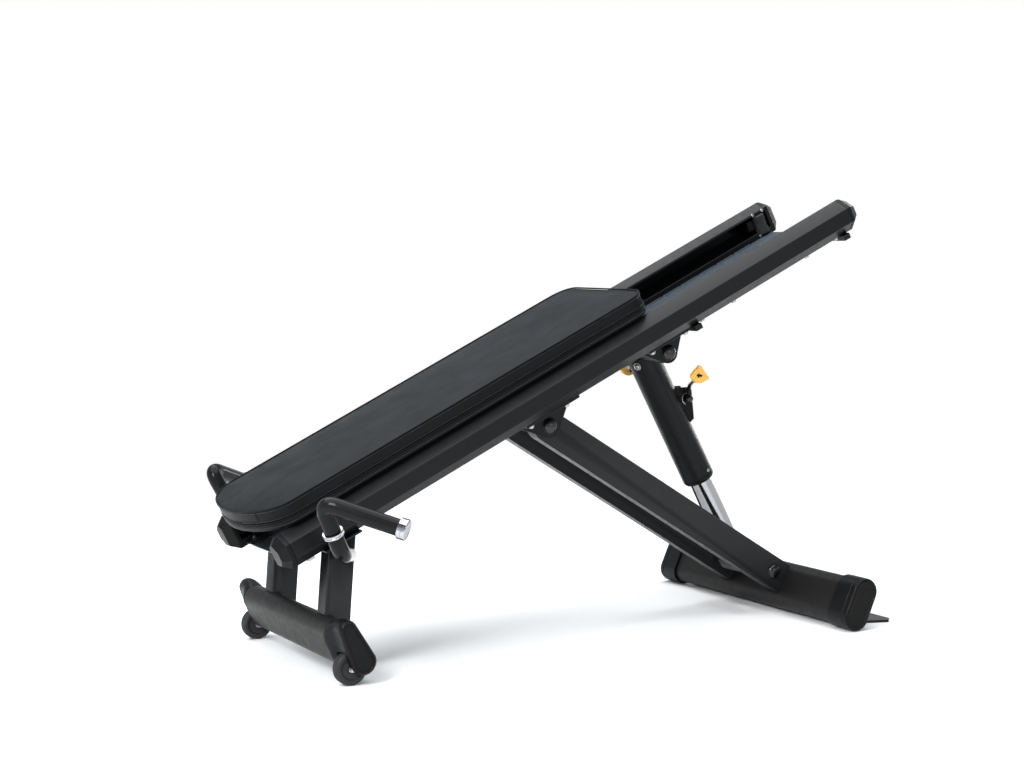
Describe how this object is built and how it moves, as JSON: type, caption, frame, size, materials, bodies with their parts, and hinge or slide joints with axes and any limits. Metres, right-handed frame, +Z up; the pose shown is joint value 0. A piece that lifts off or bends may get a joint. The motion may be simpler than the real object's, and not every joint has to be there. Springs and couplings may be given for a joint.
{
  "type": "inclined press trainer bench",
  "caption": "Inclined press trainer: a padded carriage rolls on two rails against swivelling press handles, held up by a folding arm and column support.",
  "frame": {"origin": "on the floor under the middle of the machine's bounding box, at the set incline", "axes": "+X towards the high end of the rails, +Y to the left seen from the low end, +Z up"},
  "size_m": [1.641, 1.0132, 1.0567],
  "materials": {
    "rail_coat": "satin black powder coat, fine orange peel",
    "frame_coat": "satin black powder coat",
    "foot_coat": "warm charcoal powder coat",
    "moulded_plastic": "fine-grained black moulding",
    "gloss_black": "gloss black",
    "chrome_plate": "bright chrome plate",
    "plain_steel": "zinc-plated steel",
    "rubber_tread": "black rubber",
    "vinyl": "black grained upholstery vinyl with a soft sheen",
    "tray_finish": "light blue-grey coat",
    "yellow_grip": "amber yellow moulding"
  },
  "bodies": {
    "frame": {"rail_near": "rail_coat", "rail_far": "rail_coat", "low_end_cap_near": "moulded_plastic", "low_end_cap_far": "moulded_plastic", "top_end_cap_near": "moulded_plastic", "top_end_cap_far": "moulded_plastic", "leg_head_plate": "frame_coat", "rail_tray": "tray_finish", "arm_bracket_near": "frame_coat", "arm_bracket_far": "frame_coat", "column_bracket_near": "frame_coat", "column_bracket_far": "frame_coat", "arm_pivot_pin": "moulded_plastic", "column_pivot_pin": "moulded_plastic", "front_leg_near": "frame_coat", "front_leg_far": "frame_coat", "front_foot_beam": "foot_coat", "front_foot_cap_near": "moulded_plastic", "front_foot_cap_far": "moulded_plastic", "wheel_axle_near": "plain_steel", "wheel_axle_far": "plain_steel", "handle_post_near": "gloss_black", "handle_post_far": "gloss_black", "swivel_pin_near": "chrome_plate", "swivel_pin_far": "chrome_plate"},
    "carriage": {"pad_cushion": "vinyl", "pad_base": "vinyl", "carriage_frame": "frame_coat", "low_roller_axle": "plain_steel", "high_roller_axle": "plain_steel"},
    "rear_support": {"support_arm_near": "frame_coat", "support_arm_far": "frame_coat", "rear_foot_beam": "foot_coat", "rear_foot_cap_near": "moulded_plastic", "rear_foot_cap_far": "moulded_plastic", "rear_foot_plate": "frame_coat"},
    "column_outer": {"column_outer_tube": "frame_coat", "column_collar": "moulded_plastic", "gas_spring_cylinder": "gloss_black", "lever_bracket": "frame_coat"},
    "column_inner": {"column_inner_tube": "chrome_plate", "column_eye": "frame_coat", "lower_cross_shaft": "chrome_plate", "gas_spring_rod": "chrome_plate"},
    "release": {"release_lever": "frame_coat", "lever_paddle_near": "yellow_grip", "lever_paddle_far": "yellow_grip"},
    "lock_pin": {"lock_pin": "plain_steel"},
    "low_roller_near": {"low_roller_near": "moulded_plastic"},
    "low_roller_far": {"low_roller_far": "moulded_plastic"},
    "high_roller_near": {"high_roller_near": "moulded_plastic"},
    "high_roller_far": {"high_roller_far": "moulded_plastic"},
    "wheel_near": {"front_wheel_near": "rubber_tread"},
    "handle_near": {"press_handle_near": "gloss_black", "handle_cap_near": "chrome_plate"},
    "wheel_far": {"front_wheel_far": "rubber_tread"},
    "handle_far": {"press_handle_far": "gloss_black", "handle_cap_far": "chrome_plate"}
  },
  "joints": [
    {"name": "carriage_slide", "type": "slide", "parent": "frame", "child": "carriage", "axis": [0.9039, 0, 0.4278], "range_m": [0, 0.62]},
    {"name": "arm_fold", "type": "hinge", "parent": "frame", "child": "rear_support", "pos_m": [-0.04914, 0, 0.52468], "axis": [0, -1, 0], "range_deg": [-4, 20]},
    {"name": "column_swing", "type": "hinge", "parent": "frame", "child": "column_outer", "pos_m": [0.28736, 0, 0.68562], "axis": [0, -1, 0], "range_deg": [-5, 23]},
    {"name": "column_slide", "type": "slide", "parent": "column_outer", "child": "column_inner", "axis": [0.4553, 0, -0.8903], "range_m": [-0.128, 0.027]},
    {"name": "release_pull", "type": "hinge", "parent": "column_outer", "child": "release", "pos_m": [0.41061, 0, 0.55771], "axis": [0, 1, 0], "range_deg": [0, 16], "stiffness_Nm_per_rad": 6, "springref_deg": -14.32},
    {"name": "lock_pin_slide", "type": "slide", "parent": "column_outer", "child": "lock_pin", "axis": [0.8903, 0, 0.4553], "range_m": [0, 0.0065]},
    {"name": "low_roller_near_spin", "type": "hinge", "parent": "carriage", "child": "low_roller_near", "pos_m": [-0.62947, -0.165, 0.33894], "axis": [0, 1, 0], "range_deg": [0, 1190]},
    {"name": "low_roller_far_spin", "type": "hinge", "parent": "carriage", "child": "low_roller_far", "pos_m": [-0.62947, 0.165, 0.33894], "axis": [0, 1, 0], "range_deg": [0, 1190]},
    {"name": "high_roller_near_spin", "type": "hinge", "parent": "carriage", "child": "high_roller_near", "pos_m": [0.13881, -0.165, 0.7026], "axis": [0, 1, 0], "range_deg": [0, 1190]},
    {"name": "high_roller_far_spin", "type": "hinge", "parent": "carriage", "child": "high_roller_far", "pos_m": [0.13881, 0.165, 0.7026], "axis": [0, 1, 0], "range_deg": [0, 1190]},
    {"name": "wheel_near_spin", "type": "hinge", "parent": "frame", "child": "wheel_near", "pos_m": [-0.64592, -0.2945, 0.0375], "axis": [0, 1, 0], "continuous": true},
    {"name": "handle_near_swivel", "type": "hinge", "parent": "frame", "child": "handle_near", "pos_m": [-0.73192, -0.36, 0.421], "axis": [-0.4201, -0.2, 0.8852], "range_deg": [-90, 60]},
    {"name": "wheel_far_spin", "type": "hinge", "parent": "frame", "child": "wheel_far", "pos_m": [-0.64592, 0.2945, 0.0375], "axis": [0, 1, 0], "continuous": true},
    {"name": "handle_far_swivel", "type": "hinge", "parent": "frame", "child": "handle_far", "pos_m": [-0.73192, 0.36, 0.421], "axis": [0.4201, -0.2, -0.8852], "range_deg": [-90, 60]}
  ],
  "couplings": [
    {"joint": "column_swing", "follows": "arm_fold", "ratio": 1.111},
    {"joint": "column_slide", "follows": "arm_fold", "m_per_rad": -0.3612},
    {"joint": "lock_pin_slide", "follows": "release_pull", "m_per_rad": 0.0215},
    {"joint": "low_roller_near_spin", "follows": "carriage_slide", "rad_per_m": 33.333},
    {"joint": "low_roller_far_spin", "follows": "carriage_slide", "rad_per_m": 33.333},
    {"joint": "high_roller_near_spin", "follows": "carriage_slide", "rad_per_m": 33.333},
    {"joint": "high_roller_far_spin", "follows": "carriage_slide", "rad_per_m": 33.333}
  ]
}
